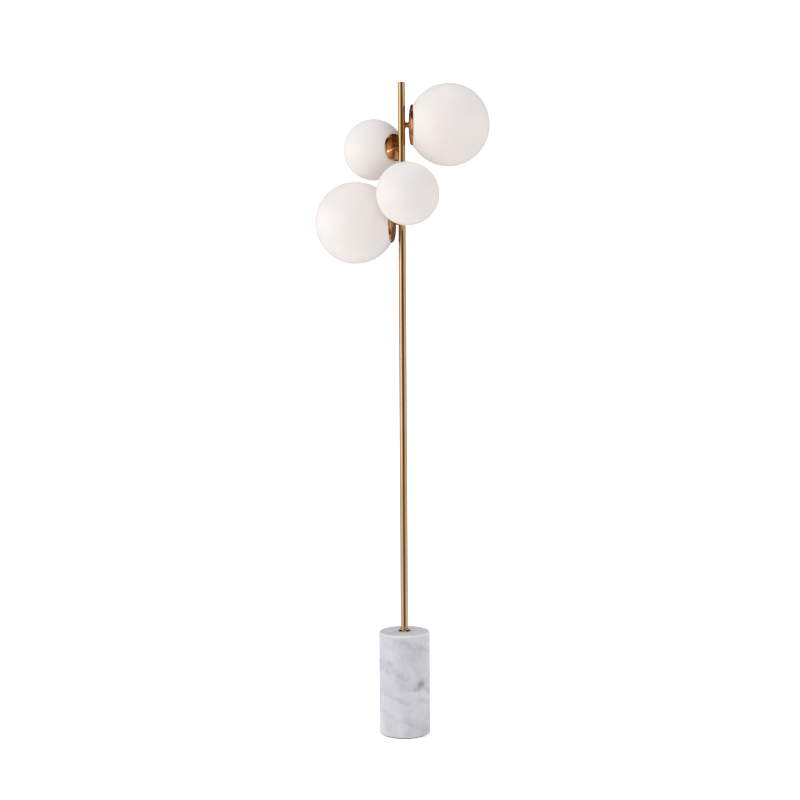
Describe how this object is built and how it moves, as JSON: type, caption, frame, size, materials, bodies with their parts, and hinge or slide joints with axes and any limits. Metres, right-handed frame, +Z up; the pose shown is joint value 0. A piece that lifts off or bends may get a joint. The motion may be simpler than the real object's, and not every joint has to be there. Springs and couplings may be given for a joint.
{
  "type": "globe floor lamp",
  "caption": "Slim floor lamp: opal glass globes stand out from a straight brass pole on short arms, each in a shallow spun cup, over a round marble base.",
  "frame": {"origin": "on the floor under the pole's axis, at the middle of the foot pad", "axes": "+Z is up along the pole, -Y is the front that the picture shows, and +X is to the right as seen from the front"},
  "size_m": [0.4149, 0.2966, 1.5494],
  "materials": {
    "marble": "honed pale grey marble with soft grey-lilac veins",
    "felt_pad": "dense black felt",
    "brass": "satin antique brass",
    "brushed_brass": "antique brass, lathe brushed in fine rings",
    "turned_brass": "plain turned brass",
    "zinc_steel": "bright zinc plate",
    "spring_steel": "rolled spring strip",
    "grommet_rubber": "soft black rubber",
    "silicone": "matt translucent white silicone",
    "opal_glass": "matt opal glass, white",
    "ceramic": "unglazed steatite",
    "frosted_bulb": "frosted glass capsule"
  },
  "bodies": {
    "stand": {"marble_base": "marble", "foot_pad": "felt_pad", "base_collar": "brass", "pole_lower": "brass", "pole_upper": "brass", "pole_cap": "brass", "pole_coupler": "turned_brass", "pole_foot": "turned_brass", "tie_rod": "zinc_steel", "clamp_plate": "zinc_steel", "spring_washer": "zinc_steel", "rod_nut": "zinc_steel", "cord_grommet": "grommet_rubber", "cup_top": "brushed_brass", "seal_ring_top": "silicone", "spring_clip_top": "spring_steel", "arm_top": "brass", "nipple_top": "turned_brass", "arm_slug_top": "turned_brass", "lock_nut_top": "turned_brass", "bulb_holder_top": "ceramic", "cup_back": "brushed_brass", "seal_ring_back": "silicone", "spring_clip_back": "spring_steel", "arm_back": "brass", "nipple_back": "turned_brass", "arm_slug_back": "turned_brass", "lock_nut_back": "turned_brass", "bulb_holder_back": "ceramic", "cup_front": "brushed_brass", "seal_ring_front": "silicone", "spring_clip_front": "spring_steel", "arm_front": "brass", "nipple_front": "turned_brass", "arm_slug_front": "turned_brass", "lock_nut_front": "turned_brass", "bulb_holder_front": "ceramic", "cup_low": "brushed_brass", "seal_ring_low": "silicone", "spring_clip_low": "spring_steel", "arm_low": "brass", "nipple_low": "turned_brass", "arm_slug_low": "turned_brass", "lock_nut_low": "turned_brass", "bulb_holder_low": "ceramic"},
    "globe_top": {"globe_top": "opal_glass"},
    "bulb_top": {"bulb_top": "frosted_bulb"},
    "globe_back": {"globe_back": "opal_glass"},
    "bulb_back": {"bulb_back": "frosted_bulb"},
    "globe_front": {"globe_front": "opal_glass"},
    "bulb_front": {"bulb_front": "frosted_bulb"},
    "globe_low": {"globe_low": "opal_glass"},
    "bulb_low": {"bulb_low": "frosted_bulb"}
  },
  "joints": [
    {"name": "globe_top_pull", "type": "slide", "parent": "stand", "child": "globe_top", "axis": [0.9998, 0.0175, 0], "range_m": [0, 0.09]},
    {"name": "globe_back_pull", "type": "slide", "parent": "stand", "child": "globe_back", "axis": [-0.7373, 0.6756, 0], "range_m": [0, 0.09]},
    {"name": "globe_front_pull", "type": "slide", "parent": "stand", "child": "globe_front", "axis": [0.1478, -0.989, 0], "range_m": [0, 0.09]},
    {"name": "globe_low_pull", "type": "slide", "parent": "stand", "child": "globe_low", "axis": [-0.9903, 0.1392, 0], "range_m": [0, 0.09]},
    {"name": "bulb_top_pull", "type": "slide", "parent": "stand", "child": "bulb_top", "axis": [0.9998, 0.0175, 0], "range_m": [0, 0.016]},
    {"name": "bulb_back_pull", "type": "slide", "parent": "stand", "child": "bulb_back", "axis": [-0.7373, 0.6756, 0], "range_m": [0, 0.016]},
    {"name": "bulb_front_pull", "type": "slide", "parent": "stand", "child": "bulb_front", "axis": [0.1478, -0.989, 0], "range_m": [0, 0.016]},
    {"name": "bulb_low_pull", "type": "slide", "parent": "stand", "child": "bulb_low", "axis": [-0.9903, 0.1392, 0], "range_m": [0, 0.016]}
  ]
}
